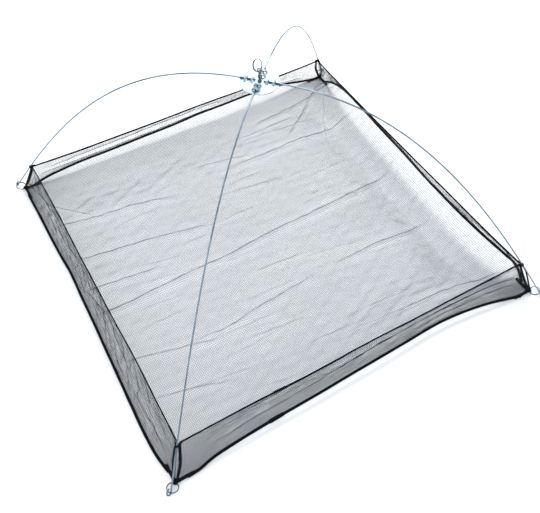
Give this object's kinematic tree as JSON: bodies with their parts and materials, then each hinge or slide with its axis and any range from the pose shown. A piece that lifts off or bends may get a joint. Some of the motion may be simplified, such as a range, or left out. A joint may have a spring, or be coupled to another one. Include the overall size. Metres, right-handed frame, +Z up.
{
  "type": "folding crab trap",
  "caption": "square drop net with low netting sides, hung from bowed wire ribs on a round hub plate with a lifting ring; the ribs close like an umbrella",
  "frame": {"origin": "the middle of the floor net, on the ground that the trap stands on", "axes": "+Z up, from the ground to the hub; X and Y along the sides of the square net, so that the ribs lie over the diagonals; the corner named front is at -X -Y"},
  "size_m": [1.0268, 1.0268, 0.5632],
  "materials": {
    "spring_wire": "galvanised",
    "ring_wire": "plated",
    "galvanised_plate": "bright galvanised",
    "eye_steel": "galvanised",
    "netting": "fine woven square mesh",
    "hem_tape": "woven binding tape"
  },
  "bodies": {
    "hub": {"hub_plate": "galvanised_plate", "rib_end_front": "spring_wire", "rib_end_right": "spring_wire", "rib_end_back": "spring_wire", "rib_end_left": "spring_wire"},
    "lift_eye": {"lift_eye": "eye_steel"},
    "lift_ring": {"lift_ring": "ring_wire"},
    "rib_front": {"rib_front": "spring_wire", "split_ring_front": "ring_wire", "rim_loop_front": "hem_tape", "corner_tapes_front": "hem_tape", "corner_tab_front": "hem_tape"},
    "rib_right": {"rib_right": "spring_wire", "split_ring_right": "ring_wire", "rim_loop_right": "hem_tape", "corner_tapes_right": "hem_tape", "corner_tab_right": "hem_tape"},
    "rib_back": {"rib_back": "spring_wire", "split_ring_back": "ring_wire", "rim_loop_back": "hem_tape", "corner_tapes_back": "hem_tape", "corner_tab_back": "hem_tape"},
    "rib_left": {"rib_left": "spring_wire", "split_ring_left": "ring_wire", "rim_loop_left": "hem_tape", "corner_tapes_left": "hem_tape", "corner_tab_left": "hem_tape"},
    "side_back_right": {"side_net_back_right": "netting", "rim_hem_back_right": "hem_tape", "floor_hem_back_right": "hem_tape"},
    "floor_back_right": {"floor_net_back_right": "netting"},
    "side_back_left": {"side_net_back_left": "netting", "rim_hem_back_left": "hem_tape", "floor_hem_back_left": "hem_tape"},
    "floor_back_left": {"floor_net_back_left": "netting"},
    "side_front_left": {"side_net_front_left": "netting", "rim_hem_front_left": "hem_tape", "floor_hem_front_left": "hem_tape"},
    "floor_front_left": {"floor_net_front_left": "netting"},
    "side_front_right": {"side_net_front_right": "netting", "rim_hem_front_right": "hem_tape", "floor_hem_front_right": "hem_tape"},
    "floor_front_right": {"floor_net_front_right": "netting"}
  },
  "joints": [
    {"name": "rib_front_fold", "type": "hinge", "parent": "hub", "child": "rib_front", "pos_m": [-0.03253, -0.03253, 0.514], "axis": [0.7071, -0.7071, 0], "range_deg": [0, 50]},
    {"name": "rib_right_fold", "type": "hinge", "parent": "hub", "child": "rib_right", "pos_m": [0.03253, -0.03253, 0.514], "axis": [0.7071, 0.7071, 0], "range_deg": [0, 50]},
    {"name": "rib_back_fold", "type": "hinge", "parent": "hub", "child": "rib_back", "pos_m": [0.03253, 0.03253, 0.514], "axis": [-0.7071, 0.7071, 0], "range_deg": [0, 50]},
    {"name": "rib_left_fold", "type": "hinge", "parent": "hub", "child": "rib_left", "pos_m": [-0.03253, 0.03253, 0.514], "axis": [-0.7071, -0.7071, 0], "range_deg": [0, 50]},
    {"name": "side_back_right_gather", "type": "hinge", "parent": "hub", "child": "side_back_right", "pos_m": [-0.205, 0, 0.514], "axis": [0, 1, 0], "range_deg": [0, 36.5], "deforming": ["side_net_back_right", "rim_hem_back_right", "floor_hem_back_right"]},
    {"name": "floor_back_right_gather", "type": "hinge", "parent": "side_back_right", "child": "floor_back_right", "pos_m": [0.484, 0, 0.0007], "axis": [0, 1, 0], "range_deg": [0, 48.3], "deforming": ["floor_net_back_right"]},
    {"name": "side_back_left_gather", "type": "hinge", "parent": "hub", "child": "side_back_left", "pos_m": [0, -0.205, 0.514], "axis": [-1, 0, 0], "range_deg": [0, 36.5], "deforming": ["side_net_back_left", "rim_hem_back_left", "floor_hem_back_left"]},
    {"name": "floor_back_left_gather", "type": "hinge", "parent": "side_back_left", "child": "floor_back_left", "pos_m": [0, 0.484, 0.0007], "axis": [-1, 0, 0], "range_deg": [0, 48.3], "deforming": ["floor_net_back_left"]},
    {"name": "side_front_left_gather", "type": "hinge", "parent": "hub", "child": "side_front_left", "pos_m": [0.205, 0, 0.514], "axis": [0, -1, 0], "range_deg": [0, 36.5], "deforming": ["side_net_front_left", "rim_hem_front_left", "floor_hem_front_left"]},
    {"name": "floor_front_left_gather", "type": "hinge", "parent": "side_front_left", "child": "floor_front_left", "pos_m": [-0.484, 0, 0.0007], "axis": [0, -1, 0], "range_deg": [0, 48.3], "deforming": ["floor_net_front_left"]},
    {"name": "side_front_right_gather", "type": "hinge", "parent": "hub", "child": "side_front_right", "pos_m": [0, 0.205, 0.514], "axis": [1, 0, 0], "range_deg": [0, 36.5], "deforming": ["side_net_front_right", "rim_hem_front_right", "floor_hem_front_right"]},
    {"name": "floor_front_right_gather", "type": "hinge", "parent": "side_front_right", "child": "floor_front_right", "pos_m": [0, -0.484, 0.0007], "axis": [1, 0, 0], "range_deg": [0, 48.3], "deforming": ["floor_net_front_right"]},
    {"name": "lift_swivel", "type": "hinge", "parent": "hub", "child": "lift_eye", "pos_m": [0, 0, 0.514], "axis": [0, 0, 1], "continuous": true},
    {"name": "lift_ring_swing", "type": "hinge", "parent": "lift_eye", "child": "lift_ring", "pos_m": [0, 0, 0.53932], "axis": [0.9205, 0.3907, 0], "range_deg": [-70, 120]}
  ],
  "couplings": [
    {"joint": "rib_right_fold", "follows": "rib_front_fold", "ratio": 1},
    {"joint": "rib_back_fold", "follows": "rib_front_fold", "ratio": 1},
    {"joint": "rib_left_fold", "follows": "rib_front_fold", "ratio": 1},
    {"joint": "side_back_right_gather", "follows": "rib_front_fold", "ratio": 0.73},
    {"joint": "floor_back_right_gather", "follows": "rib_front_fold", "ratio": 0.966},
    {"joint": "side_back_left_gather", "follows": "rib_front_fold", "ratio": 0.73},
    {"joint": "floor_back_left_gather", "follows": "rib_front_fold", "ratio": 0.966},
    {"joint": "side_front_left_gather", "follows": "rib_front_fold", "ratio": 0.73},
    {"joint": "floor_front_left_gather", "follows": "rib_front_fold", "ratio": 0.966},
    {"joint": "side_front_right_gather", "follows": "rib_front_fold", "ratio": 0.73},
    {"joint": "floor_front_right_gather", "follows": "rib_front_fold", "ratio": 0.966}
  ]
}
